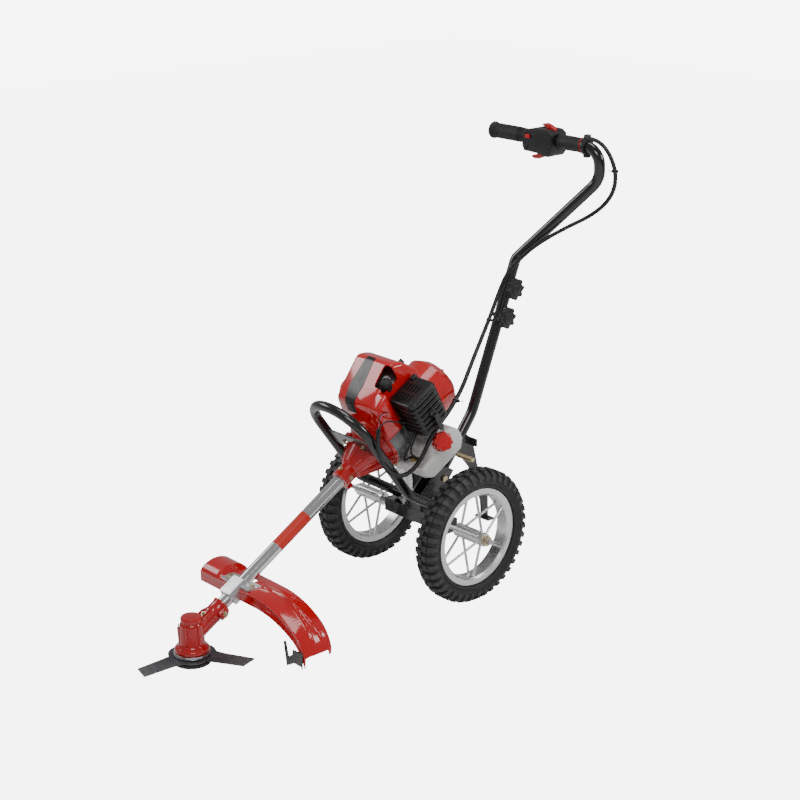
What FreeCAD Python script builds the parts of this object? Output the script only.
import FreeCAD, Part
import math
import os
import re
import Sketcher
from FreeCAD import Placement, Rotation, Vector

# Two-wheeled walk-behind petrol brush cutter, millimetres.
# +X is the machine's left, +Y its rear, +Z up.  The origin is on the ground, under the blade
# spindle, at the middle of the support cup's flat foot.

os.makedirs("parts", exist_ok=True)
doc = FreeCAD.newDocument("brush_cutter")

DIMENSIONS = {
    # whole machine
    "boom_angle": 30.5, "boom_reach": 464, "gear_centre_height": 59, "axle_setback": 636,
    "wheel_radius": 152, "track_half": 163,
    # clearances
    "running_fit": 0.05, "slip_fit": 0.1, "body_gap": 0.4, "bead_gap": 0.2,
    # wheels and axle
    "tyre_half_width": 28, "rim_lip_radius": 110, "rim_seat_radius": 102, "rim_half_width": 18.5,
    "rim_gauge": 2, "hub_half_length": 42, "hub_radius": 15, 
    "axle_radius": 6, "axle_overhang": 16, "spoke_radius": 3, "spoke_hub_offset": 30,
    "spoke_dish": 13.5, "spokes_per_side": 6, "axle_nut_radius": 11, "axle_nut_height": 9,
    "beam_half_length": 100, "beam_depth": 36, "beam_height": 30,
    # frame
    "hoop_station": 76, "hoop_lean": 36.3, "hoop_half_width": 80, "hoop_rise": 165, "hoop_drop": 102,
    "hoop_tube": 11, "hoop_wall": 1.5, "hoop_bend": 60, "gusset_gauge": 4, 
    "gusset_top": 66, "gusset_bottom": 22, "gusset_bolt_x": 30, "gusset_bolt_height": 40,
    "post_tube": 12.5, "post_wall": 1.5, "post_foot_y": 18, "post_foot_height": 28,
    "post_bend_y": 158, "post_bend_height": 205, "post_top_y": 282, "post_top_height": 520,
    "post_bend_radius": 110, "joint_length": 150, "upper_knob_drop": 45, "lower_knob_drop": 112,
    "bracket_gauge": 4, "pivot_bolt_y": 56, "pivot_bolt_height": 75, "foot_bolt_y": 24,
    "foot_bolt_height": 35, "stay_gauge": 5, "stud_radius": 6, "stud_length": 52,
    "bolt_radius": 3, "bolt_head": 5.5, "bolt_stub": 0.1, "bolt_head_height": 4,
    # handlebar
    "bar_y": 377, "bar_height": 801, "bar_half_length": 158, "elbow_x": 152, "elbow_y": 392,
    "elbow_height": 728, "elbow_bend": 55, "corner_bend": 34, "grip_radius": 17, "grip_start": 52,
    "grip_flange": 20, "sleeve_start": 42, "sleeve_end": 128, 
    "housing_half_length": 46, "housing_half_depth": 26, "housing_top": 26, "housing_bottom": 30,
    "slot_half_width": 6.5, "lever_half_width": 5.5, "knob_radius": 21, "knob_lobe": 6,
    "knob_lobes": 8, "knob_thickness": 16, "knob_standoff": 14,
    # boom and gear head
    "boom_tube": 14, "boom_wall": 1.5, "boom_start": 62, "boom_insert": 30, "shaft_radius": 4,
    "neck_start": 20, "neck_end": 92, "neck_radius": 19, "case_radius": 25, "case_bottom": 29,
    "case_top": 103, "case_skirt": 36, "cavity_radius": 20, "spindle_radius": 6,
    "seat_radius": 14, "gear_radius": 18, "blade_plane": 19, "blade_gauge": 1.6, "blade_radius": 127.5,
    "blade_bore": 12.7, "blade_arms": 3, "cup_radius": 43, "cup_foot_radius": 28, "cup_height": 13,
    "cup_hub": 8,
    # engine, measured from the clutch housing's clamp end along the crank axis
    "clamp_outer": 21, "cone_start": 38, "cone_start_radius": 26, "flange_start": 112,
    "flange_end": 118, "flange_radius": 66, "drum_radius": 35, "drum_back": 72,
    "drum_depth": 28, "drum_wall": 2.5, "drum_hub_start": 52, "drum_bearing_start": 40, "drum_hub_radius": 9,
    "shoe_radius": 31.5, "crank_radius": 7.5, "crank_web_radius": 27, "crank_throw": 16,
    "crank_pin_radius": 6, "cylinder_station": 213, "case_outer": 40, "case_hollow": 30,
    "bearing_radius": 17.5, "deck_height": 44, "bore_radius": 22, "barrel_radius": 27,
    "fin_radius": 41, "fin_gauge": 2.4, "fin_pitch": 7.5, "fin_count": 8, "head_height": 112,
    "fan_radius": 56, "fan_blades": 12, "fan_case_end": 166, "starter_start": 264,
    "starter_end": 330, "starter_radius": 66, "starter_wall": 2.5, "pulley_station": 296,
    "pulley_radius": 33, "pulley_groove_radius": 27, "rope_radius": 2,
    "cover_near": 46, "cover_far": 122, "cover_front": 168, "cover_back": 250, "cover_low": 5,
    "cover_high": 98, "cover_wall": 2.5, "shroud_wall": 3, "tank_half_width": 89, "cap_tilt": 60,
    "cap_radius": 22, "cap_height": 17, "neck_tube": 16, "cap_lobes": 8,
    # guard
    "guard_height": 138, "guard_front": 108, "guard_depth": 80, "guard_gauge": 3, "guard_lip": 24,
    "guard_left": 112, "guard_flat_end": 70, "guard_big_radius": 250, "guard_small_radius": 90,
    "clamp_station": 132, "clamp_length": 44, "saddle_gauge": 4, "saddle_reach": 46,
    # throttle loom
    "loom_radius": 5,
}

sheet = doc.addObject("Spreadsheet::Sheet", "Dim")
for row, (alias, number) in enumerate(DIMENSIONS.items(), start=1):
    sheet.set("A%d" % row, alias)
    sheet.set("B%d" % row, str(number))
    sheet.setAlias("B%d" % row, alias)
doc.recompute()


def formula(text):
    """Writes each alias in the text as a reference to the sheet."""
    return re.sub(r"[a-z][a-z0-9_]*", lambda m: "Dim." + m[0] if m[0] in DIMENSIONS else m[0], str(text))


def size(text):
    """The present value of a formula over the sheet."""
    return float(sheet.evalExpression(formula(text)))


def bind(obj, field, text):
    obj.setExpression(field, formula(text))


# ---------------------------------------------------------------- frames
def frame(name, parent, x, y, z, axis=(1, 0, 0), angle=0):
    """A named frame at (x, y, z) of its parent frame, turned by angle about axis."""
    obj = doc.addObject("App::Placement", name)
    place(obj, parent, x, y, z, axis, angle)
    return obj


def place(obj, parent, x=0, y=0, z=0, axis=(1, 0, 0), angle=0):
    """Binds the object's placement to (x, y, z) of a frame, turned by angle about axis."""
    text = "placement(vector(%s; %s; %s); rotation(vector(%s; %s; %s); %s))" % ((x, y, z) + axis + (angle,))
    if parent:
        text = parent.Name + ".Placement * " + text
    bind(obj, "Placement", text)
    doc.recompute()


spindle_frame = frame("SpindleFrame", None, 0, 0, 0)
boom_frame = frame("BoomFrame", None, 0, 0, "gear_centre_height", (1, 0, 0), "boom_angle")
engine_frame = frame("EngineFrame", boom_frame, 0, "boom_reach", 0)
hoop_frame = frame("HoopFrame", engine_frame, 0, "hoop_station", 0, (1, 0, 0), "hoop_lean - boom_angle")
axle_frame = frame("AxleFrame", None, 0, "axle_setback", "wheel_radius")
bar_frame = frame("BarFrame", axle_frame, 0, "bar_y", "bar_height")
cap_frame = frame("CapFrame", engine_frame, 84, 206, -56, (0, 1, 0), "cap_tilt")
doc.recompute()

# ---------------------------------------------------------------- building blocks
PLANE_ROLES = {"X": "YZ_Plane", "Y": "XZ_Plane", "Z": "XY_Plane"}
nodes = []


def body(label, parent, x=0, y=0, z=0, axis=(1, 0, 0), angle=0):
    obj = doc.addObject("PartDesign::Body", label)
    obj.Label = label
    place(obj, parent, x, y, z, axis, angle)
    nodes.append(obj)
    return obj


def sketch(owner, normal, offset=0, tilt=None):
    """A sketch across the named axis, offset along it, and tilted about its own X if asked."""
    drawing = owner.newObject("Sketcher::SketchObject", owner.Name + "_Sketch")
    role = PLANE_ROLES[normal]
    drawing.AttachmentSupport = [(next(o for o in owner.Origin.OriginFeatures if o.Role == role), "")]
    drawing.MapMode = "FlatFace"
    sign = "-" if normal == "Y" else ""
    if tilt is None:
        bind(drawing, "AttachmentOffset.Base.z", "%s(%s)" % (sign, offset))
    else:
        move, axis, angle = tilt
        text = "placement(vector(%s; %s; %s); rotation(vector(%s; %s; %s); %s))" % (move + axis + (angle,))
        bind(drawing, "AttachmentOffset", text)
    return drawing


def draw_loop(drawing, corners):
    """Closed loop of lines and arcs; a corner (x, y, r, turn) is reached by an arc of radius r."""
    first = drawing.GeometryCount
    points = [Vector(size(c[0]), size(c[1]), 0) for c in corners]
    count = len(corners)
    ends = []
    for i in range(count):
        a, b, target = points[i], points[(i + 1) % count], corners[(i + 1) % count]
        if len(target) == 2:
            drawing.addGeometry(Part.LineSegment(a, b), False)
            ends.append((1, 2))
            continue
        radius, turn = size(target[2]), target[3]
        half = (b - a) * 0.5
        side = Vector(-half.y, half.x, 0).normalize() * math.sqrt(max(radius ** 2 - half.Length ** 2, 0))
        centre = a + half + (side if turn == "ccw" else side * -1)
        start, stop = (a, b) if turn == "ccw" else (b, a)
        angles = [math.atan2(p.y - centre.y, p.x - centre.x) for p in (start, stop)]
        circle = Part.Circle(centre, Vector(0, 0, 1), radius)
        drawing.addGeometry(Part.ArcOfCircle(circle, angles[0], angles[1]), False)
        ends.append((1, 2) if turn == "ccw" else (2, 1))
    for i in range(count):
        after = (i + 1) % count
        drawing.addConstraint(Sketcher.Constraint("Coincident", first + i, ends[i][1], first + after,
            ends[after][0]))
    for i in range(count):
        for kind, value in (("DistanceX", corners[i][0]), ("DistanceY", corners[i][1])):
            rule = Sketcher.Constraint(kind, -1, 1, first + i, ends[i][0], size(value))
            bind(drawing, "Constraints[%d]" % drawing.addConstraint(rule), value)
        target = corners[(i + 1) % count]
        if len(target) > 2:
            rule = Sketcher.Constraint("Radius", first + i, size(target[2]))
            bind(drawing, "Constraints[%d]" % drawing.addConstraint(rule), target[2])


def draw_circle(drawing, x, y, radius):
    index = drawing.GeometryCount
    drawing.addGeometry(Part.Circle(Vector(size(x), size(y), 0), Vector(0, 0, 1), size(radius)), False)
    for kind, value in (("DistanceX", x), ("DistanceY", y)):
        rule = Sketcher.Constraint(kind, -1, 1, index, 3, size(value))
        bind(drawing, "Constraints[%d]" % drawing.addConstraint(rule), value)
    rule = Sketcher.Constraint("Radius", index, size(radius))
    bind(drawing, "Constraints[%d]" % drawing.addConstraint(rule), radius)


def draw(drawing, loops):
    for loop in loops:
        if loop[0] == "circle":
            draw_circle(drawing, *loop[1:])
        else:
            draw_loop(drawing, loop)


def rectangle(x_low, y_low, x_high, y_high):
    return [(x_low, y_low), (x_high, y_low), (x_high, y_high), (x_low, y_high)]


def extrude(owner, kind, normal, start, length, loops, tilt=None):
    """Pad or pocket of the loops, from start along the positive axis over length."""
    drawing = sketch(owner, normal, start, tilt)
    draw(drawing, loops)
    feature = owner.newObject("PartDesign::" + kind, owner.Name + "_" + kind)
    feature.Profile = drawing
    feature.Type = "Length"
    bind(feature, "Length", length)
    feature.Reversed = (normal == "Y") != (kind == "Pocket")
    doc.recompute()
    return feature


def pad(owner, normal, start, length, loops, tilt=None):
    return extrude(owner, "Pad", normal, start, length, loops, tilt)


def pocket(owner, normal, start, length, loops, tilt=None):
    before = owner.Shape.Volume
    feature = extrude(owner, "Pocket", normal, start, length, loops, tilt)
    if owner.Shape.Volume > before - 0.01:
        raise ValueError("a pocket of %s cuts nothing" % owner.Label)
    return feature


def turn(owner, axis, loops, kind="Revolution"):
    """Revolves the loops: axis X takes (along, radius), axes Y and Z take (radius, along)."""
    before = 0 if owner.Shape.isNull() else owner.Shape.Volume
    drawing = sketch(owner, "Y" if axis == "Z" else "Z")
    draw(drawing, loops)
    feature = owner.newObject("PartDesign::" + kind, owner.Name + "_" + kind)
    feature.Profile = drawing
    feature.ReferenceAxis = (drawing, ["H_Axis" if axis == "X" else "V_Axis"])
    feature.Angle = 360
    doc.recompute()
    if kind == "Groove" and owner.Shape.Volume > before - 0.01:
        raise ValueError("a groove of %s cuts nothing" % owner.Label)
    return feature


def ring_pattern(owner, features, axis, count):
    """Repeats the features round the body's own axis."""
    role = axis + "_Axis"
    pattern = owner.newObject("PartDesign::PolarPattern", owner.Name + "_Pattern")
    pattern.Originals = features
    pattern.Axis = (next(o for o in owner.Origin.OriginFeatures if o.Role == role), [""])
    pattern.Angle = 360
    bind(pattern, "Occurrences", count)
    owner.Tip = pattern
    doc.recompute()
    return pattern


def turned(label, parent, axis, loops, x=0, y=0, z=0, tilt_axis=(1, 0, 0), tilt=0):
    owner = body(label, parent, x, y, z, tilt_axis, tilt)
    turn(owner, axis, loops)
    return owner


def sleeve(inner, outer, start, end):
    """Section of a plain tube along Y or Z: (radius, along)."""
    return rectangle(inner, start, outer, end)


def solid_feature(label, shape):
    """A sub-part whose shape is made by code from the sheet's values."""
    obj = doc.addObject("Part::Feature", label)
    obj.Label = label
    obj.Shape = shape
    nodes.append(obj)
    return obj


def in_frame(parent, x, y, z):
    point = Vector(size(x), size(y), size(z))
    return parent.Placement.multVec(point) if parent else point


def rounded_path(points, radii):
    """Straight runs between the points, joined by tangent arcs of the given radii."""
    edges = []
    last = points[0]
    for before, corner, after, radius in zip(points, points[1:], points[2:], radii):
        back = (before - corner).normalize()
        ahead = (after - corner).normalize()
        half = (math.pi - back.getAngle(ahead)) / 2
        reach = radius * math.tan(half)
        start, stop = corner + back * reach, corner + ahead * reach
        middle = corner + (back + ahead).normalize() * (radius / math.cos(half) - radius)
        edges.append(Part.LineSegment(last, start).toShape())
        edges.append(Part.Arc(start, middle, stop).toShape())
        last = stop
    edges.append(Part.LineSegment(last, points[-1]).toShape())
    return Part.Wire(edges)


def swept(path, radius):
    """A round bar along the path."""
    start = path.Edges[0].Vertexes[0].Point
    heading = path.Edges[0].tangentAt(path.Edges[0].FirstParameter)
    section = Part.Wire([Part.Circle(start, heading, radius).toShape()])
    return path.makePipeShell([section], True, True)


def bent_tube(points, radii, outer, wall):
    path = rounded_path(points, radii)
    return swept(path, outer).cut(swept(path, outer - wall))


def rod(start, end, radius):
    return Part.makeCylinder(radius, (end - start).Length, start, end - start)


def hex_bolt(head_at, direction, length, radius, head, head_height, nut=False):
    """Hexagon bolt: the shank runs from head_at along direction; the head is behind it."""
    direction = Vector(direction).normalize()
    turn_to = Rotation(Vector(0, 0, 1), direction)

    def hexagon(at, height):
        corners = [Vector(head * math.cos(math.radians(60 * k)), head * math.sin(math.radians(60 * k)), 0)
                   for k in range(7)]
        prism = Part.Face(Part.makePolygon(corners)).extrude(Vector(0, 0, height))
        prism.Placement = Placement(at, turn_to)
        return prism

    bolt = rod(head_at, head_at + direction * length, radius)
    bolt = bolt.fuse(hexagon(head_at - direction * head_height, head_height))
    if nut:
        bolt = bolt.fuse(hexagon(head_at + direction * (length - head_height - 1), head_height))
    return bolt.removeSplitter()


# ---------------------------------------------------------------- wheels
def wheel(side, sign):
    """Tyre and welded rim, spokes and hub, centred on the wheel's own middle plane."""
    centre = "%d * track_half" % sign
    tyre = turned("tyre_" + side, axle_frame, "X", [[
        ("0 - rim_half_width + rim_gauge + bead_gap", "rim_seat_radius + bead_gap"),
        ("rim_half_width - rim_gauge - bead_gap", "rim_seat_radius + bead_gap"),
        ("rim_half_width - rim_gauge - bead_gap", "rim_lip_radius + bead_gap"),
        ("rim_half_width + 3", "rim_lip_radius + 2"),
        ("tyre_half_width", "wheel_radius - 24"),
        ("tyre_half_width - 1", "wheel_radius - 13"),
        ("tyre_half_width - 9", "wheel_radius - 3"),
        ("tyre_half_width - 18", "wheel_radius"),
        ("18 - tyre_half_width", "wheel_radius"),
        ("9 - tyre_half_width", "wheel_radius - 3"),
        ("1 - tyre_half_width", "wheel_radius - 13"),
        ("0 - tyre_half_width", "wheel_radius - 24"),
        ("0 - rim_half_width - 3", "rim_lip_radius + 2"),
        ("0 - rim_half_width + rim_gauge + bead_gap", "rim_lip_radius + bead_gap"),
    ]], x=centre)
    rim = turned("rim_" + side, axle_frame, "X", [[
        ("0 - hub_half_length", "axle_radius + running_fit"),
        ("hub_half_length", "axle_radius + running_fit"),
        ("hub_half_length", "hub_radius"),
        ("0 - hub_half_length", "hub_radius"),
    ]], x=centre)
    for flank in (1, -1):
        low = "%d * spoke_hub_offset" % flank
        spoke = pad(rim, "Z", 0, "rim_seat_radius - hub_radius", [("circle", 0, 0, "spoke_radius")],
                    ((low, "%s" % (8 * math.sin(math.radians(15 * flank))),
                      "(hub_radius - 4) * cos(15)"), (0, 1, 0), "%d * spoke_dish" % -flank))
        ring_pattern(rim, [spoke], "X", "spokes_per_side")
    turn(rim, "X", [[
        ("0 - rim_half_width", "rim_lip_radius"),
        ("0 - rim_half_width", "rim_seat_radius - 2 * rim_gauge"),
        ("4 - rim_half_width", "rim_seat_radius - 4 * rim_gauge"),
        ("rim_half_width - 4", "rim_seat_radius - 4 * rim_gauge"),
        ("rim_half_width", "rim_seat_radius - 2 * rim_gauge"),
        ("rim_half_width", "rim_lip_radius"),
        ("rim_half_width - rim_gauge", "rim_lip_radius"),
        ("rim_half_width - rim_gauge", "rim_seat_radius"),
        ("rim_gauge - rim_half_width", "rim_seat_radius"),
        ("rim_gauge - rim_half_width", "rim_lip_radius"),
    ]])
    return tyre, rim


wheel("left", 1)
wheel("right", -1)

# ---------------------------------------------------------------- axle and frame
beam = body("axle_beam", axle_frame)
pad(beam, "X", "0 - beam_half_length", "2 * beam_half_length",
    [rectangle("0 - beam_depth / 2", "0 - beam_height / 2", "beam_depth / 2", "beam_height / 2"),
     ("circle", 0, 0, "axle_radius + slip_fit")])

axle_reach = "track_half + hub_half_length + axle_overhang"
turned("axle_rod", axle_frame, "X", [[
    ("0 - (%s)" % axle_reach, 0), (axle_reach, 0),
    (axle_reach, "axle_radius"), ("0 - (%s)" % axle_reach, "axle_radius"),
]])

hoop_foot = in_frame(axle_frame, "0 - hoop_half_width", 8, "beam_height / 2 + hoop_tube + 0.5")
hoop_knee = in_frame(hoop_frame, "0 - hoop_half_width", 0, "0 - hoop_drop")
hoop_shoulder = in_frame(hoop_frame, "0 - hoop_half_width", 0, "hoop_rise")


def mirrored(point):
    return Vector(-point.x, point.y, point.z)


hoop_points = [hoop_foot, hoop_knee, hoop_shoulder]
hoop_points += [mirrored(p) for p in reversed(hoop_points)]
arch_bend = size("hoop_half_width") - 2
hoop_bends = [size("hoop_bend"), arch_bend, arch_bend, size("hoop_bend")]
solid_feature("hoop_frame", bent_tube(hoop_points, hoop_bends, size("hoop_tube"), size("hoop_wall")))

# saddle plate between the hoop's legs, over the clutch housing, in the plane of the hoop
gusset = body("gusset_plate", hoop_frame)
gusset_edge = "hoop_half_width - hoop_tube - 0.2"
pad(gusset, "Y", "0 - gusset_gauge / 2", "gusset_gauge", [
    [("0 - (%s)" % gusset_edge, "gusset_bottom"), (gusset_edge, "gusset_bottom"),
     (gusset_edge, "gusset_top"), ("0 - (%s)" % gusset_edge, "gusset_top")],
    ("circle", "gusset_bolt_x", "gusset_bolt_height", "bolt_radius + slip_fit"),
    ("circle", "0 - gusset_bolt_x", "gusset_bolt_height", "bolt_radius + slip_fit")])
saddle_radius = "cone_start_radius + (hoop_station - cone_start) * 0.5 + 5"
pocket(gusset, "Y", "-20", 40, [("circle", 0, 0, saddle_radius)])

# clevis of two plates that clamps the foot of the post
clevis_gap = "post_tube + 0.3"
clevis = body("post_bracket", axle_frame)
clevis_outline = [(-17, "beam_height / 2"), (17, "beam_height / 2"), (52, 44), (86, 88), (66, 100), (36, 100),
                  (-17, 48)]
clevis_holes = [("circle", "pivot_bolt_y", "pivot_bolt_height", "bolt_radius + slip_fit"),
                ("circle", "foot_bolt_y", "foot_bolt_height", "bolt_radius + slip_fit")]
pad(clevis, "X", clevis_gap, "bracket_gauge", [clevis_outline] + clevis_holes)
pad(clevis, "X", "0 - (%s) - bracket_gauge" % clevis_gap, "2 * (%s) + 2 * bracket_gauge" % clevis_gap,
    [rectangle(-17, "beam_height / 2", "bracket_gauge - 17", 40)])
pad(clevis, "X", "0 - (%s) - bracket_gauge" % clevis_gap, "bracket_gauge", [clevis_outline] + clevis_holes)

post_foot = in_frame(axle_frame, 0, "post_foot_y", "post_foot_height")
post_bend = in_frame(axle_frame, 0, "post_bend_y", "post_bend_height")
post_top = in_frame(axle_frame, 0, "post_top_y", "post_top_height")
post_up = (post_top - post_bend).normalize()
joint_foot = post_top - post_up * size("joint_length")
tube, wall = size("post_tube"), size("post_wall")


def flattened_end(side):
    """The half-round stretch where the two handle tubes lie against each other."""
    bar = rod(joint_foot, post_top, tube - 0.01)
    lean = Rotation(Vector(0, 0, 1), post_up)
    reach = size("joint_length") + 2 * tube
    block = Part.makeBox(2 * tube, 4 * tube, reach, Vector(0.1 if side > 0 else -0.1 - 2 * tube, -2 * tube,
        -tube))
    block.Placement = Placement(joint_foot, lean)
    half = bar.common(block)
    for drop in ("upper_knob_drop", "lower_knob_drop"):
        at = post_top - post_up * size(drop)
        hole = rod(at - Vector(2 * tube, 0, 0), at + Vector(2 * tube, 0, 0), size("bolt_radius + slip_fit"))
        half = half.cut(hole)
    return half


def cross_hole(shape, frame_obj, y, z):
    at = in_frame(frame_obj, 0, y, z)
    return shape.cut(rod(at - Vector(30, 0, 0), at + Vector(30, 0, 0), size("bolt_radius + slip_fit")))


post = bent_tube([post_foot, post_bend, joint_foot], [size("post_bend_radius")], tube, wall)
post = post.fuse(flattened_end(1))
post = cross_hole(post, axle_frame, "pivot_bolt_y", "pivot_bolt_height")
post = cross_hole(post, axle_frame, "foot_bolt_y", "foot_bolt_height")
solid_feature("lower_post", post.removeSplitter())

handle_points = [
    post_top,
    post_top + post_up * 22,
    in_frame(axle_frame, "elbow_x", "elbow_y", "elbow_height"),
    in_frame(bar_frame, "bar_half_length + 4", 0, 0),
    in_frame(bar_frame, "0 - bar_half_length", 0, 0),
]
handle = bent_tube(handle_points, [24, size("elbow_bend"), size("corner_bend")], tube, wall)
solid_feature("upper_handle", handle.fuse(flattened_end(-1)).removeSplitter())

# tapered stay behind the post, with its folded foot
stay = body("rear_stay", axle_frame)
pad(stay, "X", "0 - stay_gauge / 2", "stay_gauge", [
    [(104, 114), (120, 110), (150, 74), (190, -20), (194, -66), (214, -66), (212, -14), (176, 72), (160, 136),
     (141, 156)]])
pad(stay, "X", "-22", 44, [rectangle(194, -66, 214, -62)])
pad(stay, "X", "-20", 40, [rectangle(152, 128, 157, 145)])

# threaded stud that sets the post's angle, with a ribbed sleeve
stud_profile = [(14, 0), (14, "stud_radius - 1")]
for rib in range(8):
    stud_profile += [(20 + 5 * rib, "stud_radius - 1"), (20 + 5 * rib, "stud_radius"),
                     (23 + 5 * rib, "stud_radius"), (23 + 5 * rib, "stud_radius - 1")]
stud_profile += [("14 + stud_length", "stud_radius - 1"), ("14 + stud_length", 0)]
turned("angle_stud", axle_frame, "X", [stud_profile], y=98, z=122)
angle_stud = nodes.pop()

# ---------------------------------------------------------------- handlebar
grip_bore = "post_tube + running_fit"
turned("end_grip", bar_frame, "X", [[
    ("0 - bar_half_length - 4", 0), ("0 - bar_half_length - 4", "grip_flange - 2"),
    ("0 - bar_half_length - 2", "grip_flange"), ("4 - bar_half_length", "grip_flange"),
    ("7 - bar_half_length", "grip_radius"), ("0 - grip_start - 4", "grip_radius"),
    ("0 - grip_start - 1", "grip_radius - 2"), ("0 - grip_start", grip_bore),
    ("0 - bar_half_length - 0.1", grip_bore), ("0 - bar_half_length - 0.1", 0),
]])
turned("grip_sleeve", bar_frame, "X", [[
    ("sleeve_start + 6", grip_bore), ("sleeve_end - 14", grip_bore),
    ("sleeve_end - 14", "grip_radius"), ("sleeve_start + 6", "grip_radius"),
]])

# the two halves of the throttle housing meet on the bar's own middle plane
housing_ends = ("0 - housing_half_length", "housing_half_length - 4")
for label, near, depth in (("throttle_housing_front", "0 - housing_half_depth", "housing_half_depth - 0.1"),
                           ("throttle_housing_rear", "0.1", "housing_half_depth - 2")):
    half = body(label, bar_frame)
    low, high = housing_ends
    pad(half, "Y", near, depth, [[
        (low, -18), ("%s + 8" % low, "0 - housing_bottom"), ("%s - 4" % high, "0 - housing_bottom"),
        (high, "8 - housing_bottom"), (high, "housing_top - 8"), ("%s - 8" % high, "housing_top"),
        (-8, "housing_top"), (-20, 19), (low, 19)]])
    pocket(half, "X", "-60", 120, [("circle", 0, 0, grip_bore)])
    slot_from, slot_deep = ("0 - slot_half_width", "slot_half_width") if "front" in label else ("0",
        "slot_half_width")
    pocket(half, "Y", slot_from, slot_deep, [rectangle(-42, -35, 36, -14.5)])
    pocket(half, "Y", slot_from, slot_deep, [rectangle(-12, 15.5, 36, 35)])

trigger = body("throttle_trigger", bar_frame)
pad(trigger, "Y", "0 - lever_half_width", "2 * lever_half_width", [[
    (32, -17), (34, -26), (10, -36), (-20, -47), (-37, -46), (-36, -40), (-8, -30), (12, -18)]])
lock = body("lock_lever", bar_frame)
pad(lock, "Y", "0 - lever_half_width", "2 * lever_half_width", [[
    (33, 18.5), (33, 27), (8, 37), (-6, 34), (-4, 30), (14, 21)]])
stop = body("stop_switch", bar_frame)
pad(stop, "X", "-34", 12, [rectangle("0 - housing_half_depth - 4", 2, "0 - housing_half_depth - body_gap",
    10)])

# star knobs on carriage bolts clamp the joint of the handle
knob_bolts = []
for label, drop in (("star_knob_upper", "upper_knob_drop"), ("star_knob_lower", "lower_knob_drop")):
    at = post_top - post_up * size(drop)
    knob = body(label, None, at.x, at.y, at.z)
    place(knob, axle_frame, 0, "post_top_y - (%s) * %.6f" % (drop, post_up.y),
          "post_top_height - (%s) * %.6f" % (drop, post_up.z))
    pad(knob, "X", "knob_standoff", "knob_thickness", [("circle", 0, 0, "knob_radius")])
    lobe = pad(knob, "X", "knob_standoff", "knob_thickness", [("circle", "knob_radius - 1", 0, "knob_lobe")])
    ring_pattern(knob, [lobe], "X", "knob_lobes")
    pad(knob, "X", "post_tube + body_gap", "knob_standoff - post_tube", [("circle", 0, 0, 9)])
    pocket(knob, "X", "0", 27, [("circle", 0, 0, "bolt_radius + running_fit")])
    bolt = rod(at - Vector(tube, 0, 0), at + Vector(26, 0, 0), size("bolt_radius"))
    head = Part.makeCone(8, 4, 3.5, at - Vector(tube, 0, 0), Vector(-1, 0, 0))
    knob_bolts.append(bolt.fuse(head))

# ---------------------------------------------------------------- boom and drive shaft
turned("boom_tube", boom_frame, "Y", [sleeve("boom_tube - boom_wall", "boom_tube", "boom_start",
                                             "boom_reach + boom_insert")])

pinion_front, pinion_back = 17, 30
turned("drive_shaft", boom_frame, "Y", [[
    (0, pinion_front), (5, pinion_front), (9, pinion_back), ("shaft_radius", pinion_back + 1),
    ("shaft_radius", "boom_reach + drum_back - 6"), (0, "boom_reach + drum_back - 6")]])

# ---------------------------------------------------------------- gear head
case = turned("gear_case", spindle_frame, "Z", [[
    (0, "case_bottom"), ("case_skirt", "case_bottom"), ("case_skirt", "case_bottom + 7"),
    ("case_radius + 3", "case_bottom + 14"), ("case_radius", "case_bottom + 20"),
    ("case_radius", "case_top - 8"), ("case_radius - 6", "case_top - 6"), ("case_radius - 6", "case_top"),
    (0, "case_top")]])


def along_boom(start):
    """Sketch placement across the boom axis, at a distance from the spindle."""
    return ((0, "(%s) * cos(boom_angle)" % start, "gear_centre_height + (%s) * sin(boom_angle)" % start),
            (1, 0, 0), "boom_angle - 90")


pad(case, "Z", 0, "neck_end - neck_start", [("circle", 0, 0, "neck_radius")], along_boom("neck_start"))
pad(case, "Z", 0, 18, [rectangle("neck_radius - 3", -9, "neck_radius + 9", 9)], along_boom("neck_end - 20"))
turn(case, "Z", [sleeve(0, "cavity_radius", "case_bottom + 12", "case_top - 12")], "Groove")
turn(case, "Z", [sleeve(0, "seat_radius", "case_bottom - 1", "case_bottom + 13")], "Groove")


def bored(owner, start, length, radius):
    """A hole along the boom axis of the gear case."""
    before = owner.Shape.Volume
    drawing = sketch(owner, "Z", 0, along_boom(start))
    draw(drawing, [("circle", 0, 0, radius)])
    feature = owner.newObject("PartDesign::Pocket", owner.Name + "_Bore")
    feature.Profile = drawing
    bind(feature, "Length", length)
    feature.Reversed = True
    doc.recompute()
    if owner.Shape.Volume > before - 0.01:
        raise ValueError("the bore of %s cuts nothing" % owner.Label)


bored(case, "0", "neck_end", "shaft_radius + 7")
bored(case, "boom_start", "neck_end - boom_start + 1", "boom_tube + slip_fit")

# spindle with its bevel gear; blade, washers and nut turn with it
turned("output_shaft", spindle_frame, "Z", [[
    (0, "blade_plane - 16"), ("spindle_radius - 1", "blade_plane - 16"), ("spindle_radius - 1",
    "blade_plane"),
    ("spindle_radius", "blade_plane + 1"), ("spindle_radius", "case_bottom + 13"),
    ("gear_radius - 6", "case_bottom + 14"), ("gear_radius - 2", "case_bottom + 20"),
    ("gear_radius - 6", "case_bottom + 22"), (8, "case_bottom + 22"), (0, "case_bottom + 22")]])
blade = body("cutting_blade", spindle_frame)
pad(blade, "Z", "blade_plane", "blade_gauge", [("circle", 0, 0, 42)])
arm = pad(blade, "Z", "blade_plane", "blade_gauge", [[
    (-22, -20), (22, -20), (26, "0 - blade_radius * 0.45"), (14, "0 - blade_radius * 0.98"),
    (-30, "0 - blade_radius * 0.95"), (-22, "0 - blade_radius * 0.45")]])
ring_pattern(blade, [arm], "Z", "blade_arms")
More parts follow.
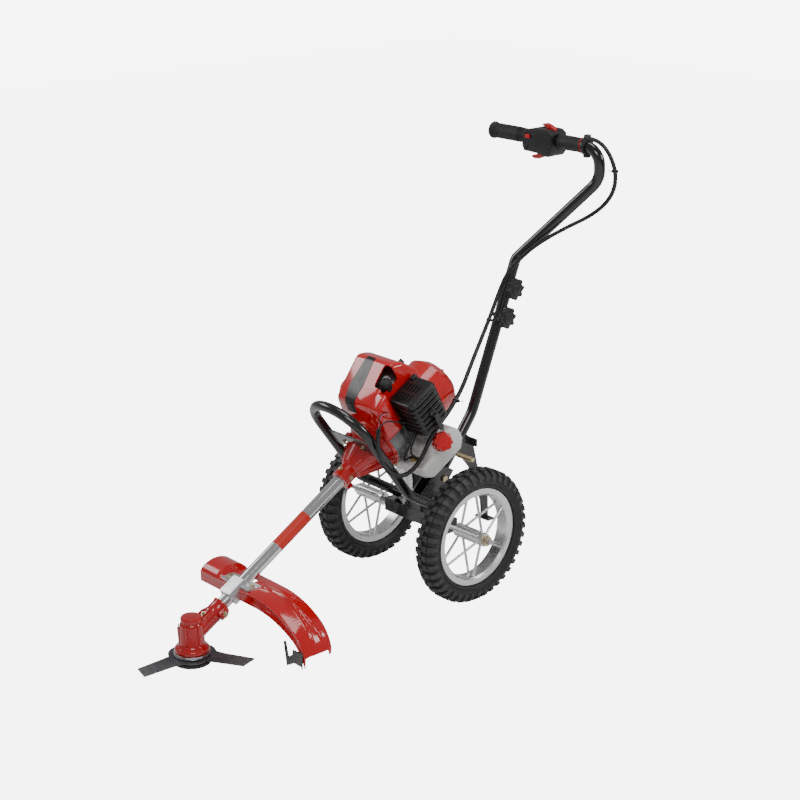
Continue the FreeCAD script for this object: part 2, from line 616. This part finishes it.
pocket(blade, "Z", 0, "blade_plane + 10", [("circle", 0, 0, "blade_bore")])

def ring_of(profile):
    """A ring about the spindle, from its (radius, height) corners."""
    corners = [Vector(size(r), 0, size(z)) for r, z in profile]
    face = Part.Face(Part.makePolygon(corners + corners[:1]))
    return face.revolve(Vector(0, 0, 0), Vector(0, 0, 1), 360)


thrust_washer = ring_of([
    ("spindle_radius", "blade_plane + blade_gauge"), (30, "blade_plane + blade_gauge"),
    (33, "blade_plane + 4"), (35, "case_bottom - 2"), (25, "case_bottom - 1"),
    ("spindle_radius", "case_bottom - 1")])
blade_nut = ring_of([
    ("spindle_radius - 1", "blade_plane - 11"), (9, "blade_plane - 11"), (9, "blade_plane - 4"),
    (20, "blade_plane - 3"), (20, "blade_plane"), ("blade_bore - slip_fit", "blade_plane"),
    ("blade_bore - slip_fit", "blade_plane + blade_gauge"), ("spindle_radius", "blade_plane + blade_gauge"),
    ("spindle_radius", "blade_plane + 1"), ("spindle_radius - 1", "blade_plane")])
solid_feature("blade_fixings", Part.makeCompound([thrust_washer, blade_nut]))
cup_wall = 2.5
turned("support_cup", spindle_frame, "Z", [[
    (0, 0), ("cup_foot_radius", 0), ("cup_radius - 4", 4), ("cup_radius", "cup_height"),
    ("cup_radius - %s" % cup_wall, "cup_height"), ("cup_radius - 6", 6),
    ("cup_foot_radius - 1", cup_wall), ("cup_hub", cup_wall), ("cup_hub", "blade_plane - 11.5"),
    ("spindle_radius - 1 + running_fit", "blade_plane - 11.5"),
    ("spindle_radius - 1 + running_fit", cup_wall), (0, cup_wall)]])

# ---------------------------------------------------------------- guard
guard = body("blade_guard", None)
turn_a, turn_b = 28, 72
ax = "guard_flat_end + guard_big_radius * sin(%d)" % turn_a
az = "guard_height - guard_big_radius * (1 - cos(%d))" % turn_a
bx = "%s + guard_small_radius * (sin(%d) - sin(%d))" % (ax, turn_b, turn_a)
bz = "%s - guard_small_radius * (cos(%d) - cos(%d))" % (az, turn_a, turn_b)


def guard_band(depth):
    """Front view of the fender between its outer face and a depth below it."""
    inner_a = ("guard_flat_end + (guard_big_radius - %s) * sin(%d)" % (depth, turn_a),
               "guard_height - %s - (guard_big_radius - %s) * (1 - cos(%d))" % (depth, depth, turn_a))
    inner_b = ("%s - (%s) * sin(%d)" % (bx, depth, turn_b), "%s - (%s) * cos(%d)" % (bz, depth, turn_b))
    return [("0 - guard_left", "guard_height - %s" % depth),
            ("guard_flat_end", "guard_height - %s" % depth),
            inner_a + ("guard_big_radius - %s" % depth, "cw"),
            inner_b + ("guard_small_radius - %s" % depth, "cw"),
            (bx, bz),
            (ax, az, "guard_small_radius", "ccw"),
            ("guard_flat_end", "guard_height", "guard_big_radius", "ccw"),
            ("0 - guard_left", "guard_height")]


pad(guard, "Y", "guard_front", "guard_depth", [guard_band("guard_gauge")])
pad(guard, "Y", "guard_front", "guard_gauge", [guard_band("guard_lip")])
pad(guard, "X", "0 - guard_left", "guard_gauge", [rectangle("guard_front", "guard_height - guard_lip",
                                                             "guard_front + guard_depth", "guard_height")])
pocket(guard, "Z", 0, 300, [rectangle("0 - boom_tube - 8", 0, "boom_tube + 8",
    "guard_front + guard_depth * 0.72")])

saddle = body("guard_clamp", None)
pad(saddle, "Z", "guard_height", "saddle_gauge", [rectangle("0 - saddle_reach", "guard_front + 4",
    "saddle_reach",
                                                            "guard_front + 38")])
pad(saddle, "Z", 0, "clamp_length", [[
    (-20, 12), (20, 12), (20, -8), (16, -18), (-16, -18), (-20, -8)]],
    along_boom("clamp_station - clamp_length / 2"))
bored(saddle, "clamp_station - clamp_length", "2 * clamp_length", "boom_tube + running_fit")

knife_y = "guard_front - 2.5"
knife = body("line_cutter", None)
pad(knife, "Y", knife_y, 2.5, [[
    ("(%s) - 58" % bx, "blade_plane + 58"), ("(%s) - 64" % bx, "blade_plane + 55"),
    ("(%s) - 55" % bx, "blade_plane + 4"), ("(%s) - 31" % bx, "blade_plane + 18"),
    ("(%s) - 10" % bx, "blade_plane + 18"), ("(%s) - 7" % bx, "blade_plane + 12"),
    ("(%s) - 5" % bx, "blade_plane + 48"), ("(%s) - 36" % bx, "blade_plane + 46"),
    ("(%s) - 36" % bx, "blade_plane + 36"), ("(%s) - 50" % bx, "blade_plane + 26")]])

# ---------------------------------------------------------------- clutch
clutch = turned("clutch_housing", engine_frame, "Y", [[
    ("boom_tube + slip_fit", 0), ("clamp_outer", 0), ("clamp_outer", "cone_start - 6"),
    ("cone_start_radius", "cone_start"), ("flange_radius - 5", "flange_start"),
    ("flange_radius", "flange_start"), ("flange_radius", "flange_end"),
    ("flange_radius - 5", "flange_end"), ("flange_radius - 8", "flange_start"),
    ("drum_radius + 4", "drum_back"), ("drum_radius - 6", "drum_hub_start + 2"),
    ("bearing_radius", "drum_hub_start + 2"), ("bearing_radius", "drum_bearing_start"),
    ("boom_tube - 2", "drum_bearing_start"), ("boom_tube - 2", "boom_insert + 0.5"),
    ("boom_tube + slip_fit", "boom_insert + 0.5")]])
for side in (1, -1):
    pad(clutch, "Z", "gusset_bolt_height - 14", 22, [rectangle(
        "%d * gusset_bolt_x - 7" % side, "hoop_station + 3", "%d * gusset_bolt_x + 7" % side,
        "hoop_station + 15")])
pad(clutch, "Z", "0 - clamp_outer - 9", 14, [rectangle(-9, 3, 9, 17)])
turn(clutch, "Y", [[(0, "drum_hub_start + 2"), ("drum_radius - 6", "drum_hub_start + 2"),
                    ("drum_radius + 4", "drum_back"), ("flange_radius - 8", "flange_start"),
                    (0, "flange_start")]], "Groove")
turned("clutch_drum", engine_frame, "Y", [[
    ("shaft_radius", "drum_bearing_start"), ("drum_hub_radius", "drum_bearing_start"),
    ("drum_hub_radius", "drum_back"), ("drum_radius", "drum_back"), ("drum_radius", "drum_back + drum_depth"),
    ("drum_radius - drum_wall", "drum_back + drum_depth"), ("drum_radius - drum_wall",
    "drum_back + drum_wall"),
    (0, "drum_back + drum_wall"), (0, "drum_back - 6"), ("shaft_radius", "drum_back - 6")]])
shoes = body("clutch_shoes", engine_frame)
pad(shoes, "Y", "drum_back + 8", 14, [[
    ("0 - crank_radius - 4", -13), ("crank_radius + 4", -13), ("shoe_radius - 6", -16),
    ("shoe_radius - 6", 16, "shoe_radius", "ccw"), ("crank_radius + 4", 13), ("0 - crank_radius - 4", 13),
    ("6 - shoe_radius", 16), ("6 - shoe_radius", -16, "shoe_radius", "ccw")],
    ("circle", 0, 0, "crank_radius")])

# ---------------------------------------------------------------- engine core
web = [("cylinder_station - 21", "cylinder_station - 7"), ("cylinder_station + 7", "cylinder_station + 21")]
crank = turned("crankshaft", engine_frame, "Y", [[
    (0, "drum_back + 6"), ("crank_radius", "drum_back + 6"), ("crank_radius", web[0][0]),
    ("crank_web_radius", web[0][0]), ("crank_web_radius", web[0][1]), (0, web[0][1])]])
pad(crank, "Y", web[0][1], 14, [("circle", 0, "crank_throw", "crank_pin_radius")])
turn(crank, "Y", [[(0, web[1][0]), ("crank_web_radius", web[1][0]), ("crank_web_radius", web[1][1]),
                   ("crank_radius", web[1][1]), ("crank_radius", "starter_start + 18"),
                   (0, "starter_start + 18")]])

engine_case = turned("crankcase", engine_frame, "Y", [[
    ("bearing_radius", "cylinder_station - 41"), ("case_outer - 18", "cylinder_station - 53"),
    ("case_outer - 18", "cylinder_station - 47"), ("case_outer", "cylinder_station - 41"),
    ("case_outer", "cylinder_station + 41"), ("case_outer - 18", "cylinder_station + 47"),
    ("bearing_radius", "cylinder_station + 47"), ("bearing_radius", "cylinder_station + 25"),
    ("case_hollow", "cylinder_station + 25"), ("case_hollow", "cylinder_station - 25"),
    ("bearing_radius", "cylinder_station - 25")]])
pad(engine_case, "Z", "case_outer - 20", "deck_height - case_outer + 20",
    [rectangle(-32, "cylinder_station - 32", 32, "cylinder_station + 32")])
pad(engine_case, "Z", "0 - case_outer - 2", 12, [rectangle(-24, "cylinder_station - 30", 24,
    "cylinder_station + 30")])
turn(engine_case, "Y", [sleeve(0, "case_hollow", "cylinder_station - 25", "cylinder_station + 25")], "Groove")
pocket(engine_case, "Z", "case_hollow - 15", "deck_height", [("circle", 0, "cylinder_station",
    "bore_radius + 2")])


def bearing(parent, start, inner, outer, length, axis=(0, 1, 0)):
    """A ball bearing's envelope: the crank's and the drum's lie along Y, the spindle's along Z."""
    at = in_frame(parent, *[start if step else 0 for step in axis])
    along = parent.Placement.Rotation.multVec(Vector(*axis))
    ring = Part.makeCylinder(size(outer), length, at, along)
    return ring.cut(Part.makeCylinder(size(inner), length, at, along))


crank_bore, drum_bore = "crank_radius + running_fit", "drum_hub_radius + running_fit"
solid_feature("bearings", Part.makeCompound([
    bearing(engine_frame, "cylinder_station - 40", crank_bore, "bearing_radius", 12),
    bearing(engine_frame, "cylinder_station + 26", crank_bore, "bearing_radius", 12),
    bearing(engine_frame, "drum_bearing_start", drum_bore, "bearing_radius", 11),
    bearing(spindle_frame, "case_bottom + 1", "spindle_radius + running_fit", "seat_radius", 11, (0, 0, 1))]))

fin_profile = [("bore_radius", "deck_height"), ("barrel_radius + 4", "deck_height"),
               ("barrel_radius + 4", "deck_height + 4"), ("barrel_radius", "deck_height + 4")]
for fin in range(DIMENSIONS["fin_count"]):
    low = "deck_height + 7 + %d * fin_pitch" % fin
    fin_profile += [("barrel_radius", low), ("fin_radius", low), ("fin_radius", low + " + fin_gauge"),
                    ("barrel_radius", low + " + fin_gauge")]
fin_profile += [("barrel_radius", "head_height"), (0, "head_height"), (0, "head_height - 8"),
                ("bore_radius", "head_height - 8")]
turned("cylinder", engine_frame, "Z", [fin_profile], y="cylinder_station")
plug_way = Vector(0.794, -0.397, 0.46).normalize()
head_centre = Vector(0, size("cylinder_station"), size("head_height") - 5)


def plug_point(distance):
    return engine_frame.Placement.multVec(head_centre + plug_way * distance)


turned("piston", engine_frame, "Z", [[
    ("bore_radius - 4", 62), ("bore_radius - running_fit", 62), ("bore_radius - running_fit", 92), (0, 92),
    (0, 87), ("bore_radius - 4", 87)]], y="cylinder_station")
conrod = body("connecting_rod", engine_frame)
pad(conrod, "Y", "cylinder_station - 4.5", 9, [
    [(-12, "crank_throw + crank_pin_radius + 1.5"), (12, "crank_throw + crank_pin_radius + 1.5"), (12, 33),
        (5, 38),
     (5, 68), (9, 74), (9, 82), (-9, 82), (-9, 74), (-5, 68), (-5, 38), (-12, 33)],
    ("circle", 0, 76, 5)])
plug = rod(plug_point(23.5), plug_point(34), 6.5).fuse(rod(plug_point(26), plug_point(33), 9.5))
plug = plug.fuse(rod(plug_point(33), plug_point(48), 4.5))
solid_feature("spark_plug", plug.removeSplitter())
boot_end = plug_point(54)
boot = rod(plug_point(42), boot_end, 10).fuse(Part.makeSphere(10, boot_end))
boot_fall = boot_end + engine_frame.Placement.Rotation.multVec(Vector(-6, -20, -14))
boot = boot.fuse(rod(boot_end, boot_fall, 7)).cut(rod(plug_point(41), plug_point(48.2), 4.7))
solid_feature("plug_boot", boot)

wheel_fan = turned("flywheel", engine_frame, "Y", [[
    ("crank_radius", "flange_end + 8"), (13, "flange_end + 8"), (16, "flange_end + 20"),
    ("fan_radius", "flange_end + 22"), ("fan_radius", "flange_end + 26"), (16, "flange_end + 28"),
    (13, "flange_end + 36"), ("crank_radius", "flange_end + 36")]])
vane = pad(wheel_fan, "Y", "flange_end + 9", 14, [rectangle(-1.2, 26, 1.2, "fan_radius - 2")])
ring_pattern(wheel_fan, [vane], "Y", "fan_blades")
turned("fan_case", engine_frame, "Y", [[
    ("flange_radius", "flange_end"), ("flange_radius", "fan_case_end - 16"), ("flange_radius - 8",
    "fan_case_end"),
    ("case_outer - 17.8", "fan_case_end"), ("case_outer - 17.8", "fan_case_end - 4"),
    ("flange_radius - 11", "fan_case_end - 4"), ("flange_radius - 3", "fan_case_end - 17"),
    ("flange_radius - 3", "flange_end")]])
coil = body("ignition_coil", engine_frame)
pad(coil, "Y", "flange_end + 8", 24, [rectangle(-20, "flange_radius + 1", 20, "flange_radius + 20")])

# ---------------------------------------------------------------- covers
shroud = body("engine_shroud", engine_frame)
crown = [(112, 28), (250, 28), (272, 60), (270, 98), (246, 138), (220, 156), (150, 126), (124, 112)]
crown_inside = [(115.2, 20), (247, 20), (268.8, 61), (266.8, 97), (243.4, 135.4), (219.4, 152.4), (151,
    122.8),
                (126.2, 109)]
shoulder = [(112, 28), (162, 28), (162, 128), (150, 124), (124, 110)]
shoulder_inside = [(115.2, 20), (165, 20), (165, 124), (151, 120.8), (126.2, 107)]
bulge = [(142, 30), (250, 30), (250, 104), (236, 120), (160, 110), (142, 94)]
bulge_inside = [(145.2, 20), (246.8, 20), (246.8, 102.8), (234.6, 116.8), (161.2, 107), (145.2, 92.6)]
pad(shroud, "X", -72, "72 + cover_near", [crown])
pad(shroud, "X", "cover_near", 20, [shoulder])
pad(shroud, "X", -96, 24, [bulge])
pocket(shroud, "X", "shroud_wall - 72", "72 + cover_near - 2 * shroud_wall", [crown_inside])
pocket(shroud, "X", "cover_near - shroud_wall - 1", "22 - shroud_wall", [shoulder_inside])
pocket(shroud, "X", "shroud_wall - 96", 30, [bulge_inside])
pocket(shroud, "Y", 100, 70, [("circle", 0, 0, "flange_radius + 0.5")])
pocket(shroud, "Y", 250, 40, [("circle", 0, 0, "starter_radius + 0.5")])
pocket(shroud, "X", "cover_near - 20", 30, [rectangle(194, 32, 228, 76)])
pocket(shroud, "Z", 112, 84, [rectangle(24, 166, 90, 216)])
for louvre in range(6):
    pocket(shroud, "X", -100, 12, [rectangle(160 + 12 * louvre, 48, 166 + 12 * louvre, 96)])

muffler = body("muffler", engine_frame)
pad(muffler, "X", -88, 45, [rectangle(174, 40, 246, 98)])
carb = body("carburettor", engine_frame)
pad(carb, "X", 42, 41, [rectangle(196, 34, 226, 74)])
pad(carb, "X", 54, 26, [rectangle(190, -6, 228, 40)])
pocket(carb, "X", 40, 60, [("circle", 211, 54, 9)])
pocket(carb, "Z", -7, 11, [("circle", 67, 209, 9.5)])
turned("primer_bulb", engine_frame, "Z", [[(0, -12), (6, -12), (9, -7), (9, -2), (0, -2)]], x=67, y=209)
filter_block = body("filter_element", engine_frame)
pad(filter_block, "X", "88", "cover_far - cover_wall - 90", [rectangle(
    "cover_front + cover_wall + 9", "cover_low + cover_wall + 9", "cover_back - cover_wall - 9",
    "cover_high - cover_wall - 9")])

cover = body("air_cleaner_cover", engine_frame)


def cover_section(inset):
    """Side view of the air cleaner cover, with its clipped corners."""
    low, high = "cover_low + %s" % inset, "cover_high - %s" % inset
    front, back = "cover_front + %s" % inset, "cover_back - %s" % inset
    return [(front + " + 10", low), (back + " - 10", low), (back, low + " + 12"), (back, high + " - 12"),
            (back + " - 12", high), (front + " + 12", high), (front, high + " - 12"), (front, low + " + 12")]


pad(cover, "X", "cover_near", "cover_far - cover_near", [cover_section("0")])
for rib in range(5):
    pad(cover, "Z", "cover_low + 16 + %d" % (14 * rib), 5, [rectangle(
        "cover_near + 20", "cover_front - 3", "cover_far + 3", "cover_back + 3")])
pocket(cover, "X", "cover_near - 1", "cover_far - cover_near - cover_wall + 1", [cover_section("cover_wall")])
for row in range(2):
    for slot in range(5):
        pocket(cover, "Z", "cover_high - 10", 20, [rectangle(
            "cover_near + 14 + %d" % (20 * row), "cover_front + 18 + %d" % (13 * slot),
            "cover_near + 30 + %d" % (20 * row), "cover_front + 23 + %d" % (13 * slot))])
pocket(cover, "Z", "cover_low - 20", 40, [rectangle("cover_near - 1", 186, 86, 232)])
choke = body("choke_lever", engine_frame)
pad(choke, "X", "cover_far + 3.4", 4, [[(206, 44), (216, 44), (218, 34), (214, 2), (208, -4), (204, 2),
    (204, 34)]])

# ---------------------------------------------------------------- recoil starter
recoil = turned("recoil_housing", engine_frame, "Y", [[
    ("starter_radius - starter_wall", "starter_start"), ("starter_radius", "starter_start"),
    ("starter_radius", "starter_end - 16"), ("starter_radius - 16", "starter_end"), (0, "starter_end"),
    (0, "starter_end - 34"), (5, "starter_end - 34"), (5, "starter_end - starter_wall"),
    ("starter_radius - 17", "starter_end - starter_wall"),
    ("starter_radius - starter_wall", "starter_end - 17")]])
pocket(recoil, "X", "0 - starter_radius - 5", 40, [("circle", "pulley_station",
    "pulley_groove_radius + 2.5", "rope_radius + 1")])
turned("recoil_pulley", engine_frame, "Y", [[
    ("5 + running_fit", "pulley_station - 8"), (12, "pulley_station - 8"), (12, "pulley_station - 5"),
    ("pulley_radius", "pulley_station - 5"), ("pulley_radius", "pulley_station - 3"),
    ("pulley_groove_radius", "pulley_station - 3"), ("pulley_groove_radius", "pulley_station + 3"),
    ("pulley_radius", "pulley_station + 3"), ("pulley_radius", "pulley_station + 5"),
    ("5 + running_fit", "pulley_station + 5")]])
handle_x = "starter_radius + 10"
turned("starter_rope", engine_frame, "X", [[
    ("0 - (%s)" % handle_x, 0), (-2, 0), (-2, "rope_radius"), ("0 - (%s)" % handle_x, "rope_radius")]],
    y="pulley_station", z="pulley_groove_radius + 2.5")
pull = turned("starter_handle", engine_frame, "X", [[
    ("0 - (%s) - 22" % handle_x, 0), ("0 - (%s)" % handle_x, 0), ("0 - (%s)" % handle_x, 6),
    ("0 - (%s) - 22" % handle_x, 6)]], y="pulley_station", z="pulley_groove_radius + 2.5")
pad(pull, "Y", -28, 56, [("circle", "0 - (%s) - 16" % handle_x, 0, 7)])

# ---------------------------------------------------------------- fuel tank and cap
tank = body("fuel_tank", engine_frame)
pad(tank, "X", "8 - tank_half_width", "2 * tank_half_width - 16", [[
    (138, -74), (174, -74), (182, -48), (250, -48), (262, -60), (263, -68), (270, -76), (270, -100), (252,
    -118),
    (158, -118), (138, -100)]])
pad(tank, "X", "0 - tank_half_width", "2 * tank_half_width", [[
    (146, -80), (178, -80), (188, -56), (248, -56), (260, -66), (262, -97), (248, -110), (162, -110), (146,
    -96)]])
throat_at = (84, 206, -56)
pad(tank, "Z", 0, 32, [("circle", 0, 0, "neck_tube")], (throat_at, (0, 1, 0), "cap_tilt"))

cap = turned("fuel_cap", cap_frame, "Z", [[
    (0, 32.3), ("neck_tube + body_gap", 32.3), ("neck_tube + body_gap", 20), ("cap_radius", 20),
    ("cap_radius", "20 + cap_height - 3"), ("cap_radius - 3", "20 + cap_height"), (0, "20 + cap_height")]])
flute = pocket(cap, "Z", 19, "cap_height + 3", [("circle", "cap_radius + 2", 0, 4)])
ring_pattern(cap, [flute], "Z", "cap_lobes")

# ---------------------------------------------------------------- throttle loom
# hand-chosen route: along the bar's end, down the post, round the air cleaner, up by the clutch
LOOM_ROUTE = (
    (130, 999, 973), (154, 1000, 975), (176, 1008, 964), (189, 1020, 938), (193, 1033, 904), (186, 1041, 866),
    (166, 1040, 830), (136, 1021, 798), (100, 982, 772), (64, 941, 741), (32, 908, 704), (10, 886, 664),
    (6, 864, 618), (13, 831, 570), (24, 790, 524), (42, 745, 485), (66, 700, 456), (86, 658, 437),
    (95, 624, 415), (95, 596, 394), (98, 571, 372), (102, 548, 342), (104, 520, 318), (103, 488, 309),
    (101, 456, 322), (100, 434, 348), (99, 422, 378), (98, 421, 406), (95, 427, 430),
)
loom_points = [Vector(*p) for p in LOOM_ROUTE]
loom_radii = []
for before, corner, after in zip(loom_points, loom_points[1:], loom_points[2:]):
    bend = math.pi - (before - corner).getAngle(after - corner)
    shorter = min((before - corner).Length, (after - corner).Length)
    loom_radii.append(0.45 * shorter / math.tan(bend / 2))
print("loom bend radii", [round(r) for r in loom_radii])
loom_path = rounded_path(loom_points, loom_radii)
loom = swept(loom_path, size("loom_radius"))
expected = math.pi * size("loom_radius") ** 2 * loom_path.Length
print("loom length", round(loom_path.Length), "volume ratio", round(loom.Volume / expected, 4))
if abs(loom.Volume / expected - 1) > 0.01:
    raise ValueError("the loom's sweep is not whole")
solid_feature("throttle_loom", loom)

# ---------------------------------------------------------------- fasteners
screws = list(knob_bolts)
for side in (1, -1):
    at = in_frame(axle_frame, "%d * (track_half + hub_half_length + body_gap)" % side, 0, 0)
    nut = Part.makeCylinder(size("axle_nut_radius"), size("axle_nut_height"), at, Vector(side, 0, 0))
    screws.append(nut.cut(rod(at - Vector(20, 0, 0), at + Vector(20, 0, 0), size("axle_radius"))))
for y, z in (("pivot_bolt_y", "pivot_bolt_height"), ("foot_bolt_y", "foot_bolt_height")):
    at = in_frame(axle_frame, "%s + bracket_gauge" % clevis_gap, y, z)
    length = 2 * size("%s + bracket_gauge" % clevis_gap) + 9
    screws.append(hex_bolt(at, (-1, 0, 0), length, size("bolt_radius"), 8, 5, nut=True))
up_hoop = hoop_frame.Placement.Rotation.multVec(Vector(0, 1, 0))
for side in (1, -1):
    at = in_frame(hoop_frame, "%d * gusset_bolt_x" % side, "0 - gusset_gauge / 2", "gusset_bolt_height")
    screws.append(hex_bolt(at, up_hoop, size("gusset_gauge"), size("bolt_radius"), size("bolt_head"), 4))
for side in (1, -1):
    at = in_frame(None, "%d * (saddle_reach - 9)" % side, "guard_front + 21",
                  "guard_height + saddle_gauge + bolt_stub")
    screws.append(hex_bolt(at, (0, 0, -1), size("bolt_stub"), size("bolt_radius"), size("bolt_head"),
                           size("bolt_head_height")))
screws.append(angle_stud.Shape)
solid_feature("fasteners", Part.makeCompound(screws))

# ---------------------------------------------------------------- checks and export
doc.recompute()
for obj in doc.Objects:
    if "Invalid" in obj.State or "Error" in obj.State:
        raise RuntimeError("%s failed: %s" % (obj.Label, obj.State))
for obj in nodes:
    if obj.Shape.isNull() or not obj.Shape.isValid() or obj.Shape.Volume <= 0:
        raise RuntimeError("%s has no sound shape" % obj.Label)
for obj in nodes:
    obj.Shape.exportStep("parts/%s.step" % obj.Label)
print(len(nodes), "nodes written")
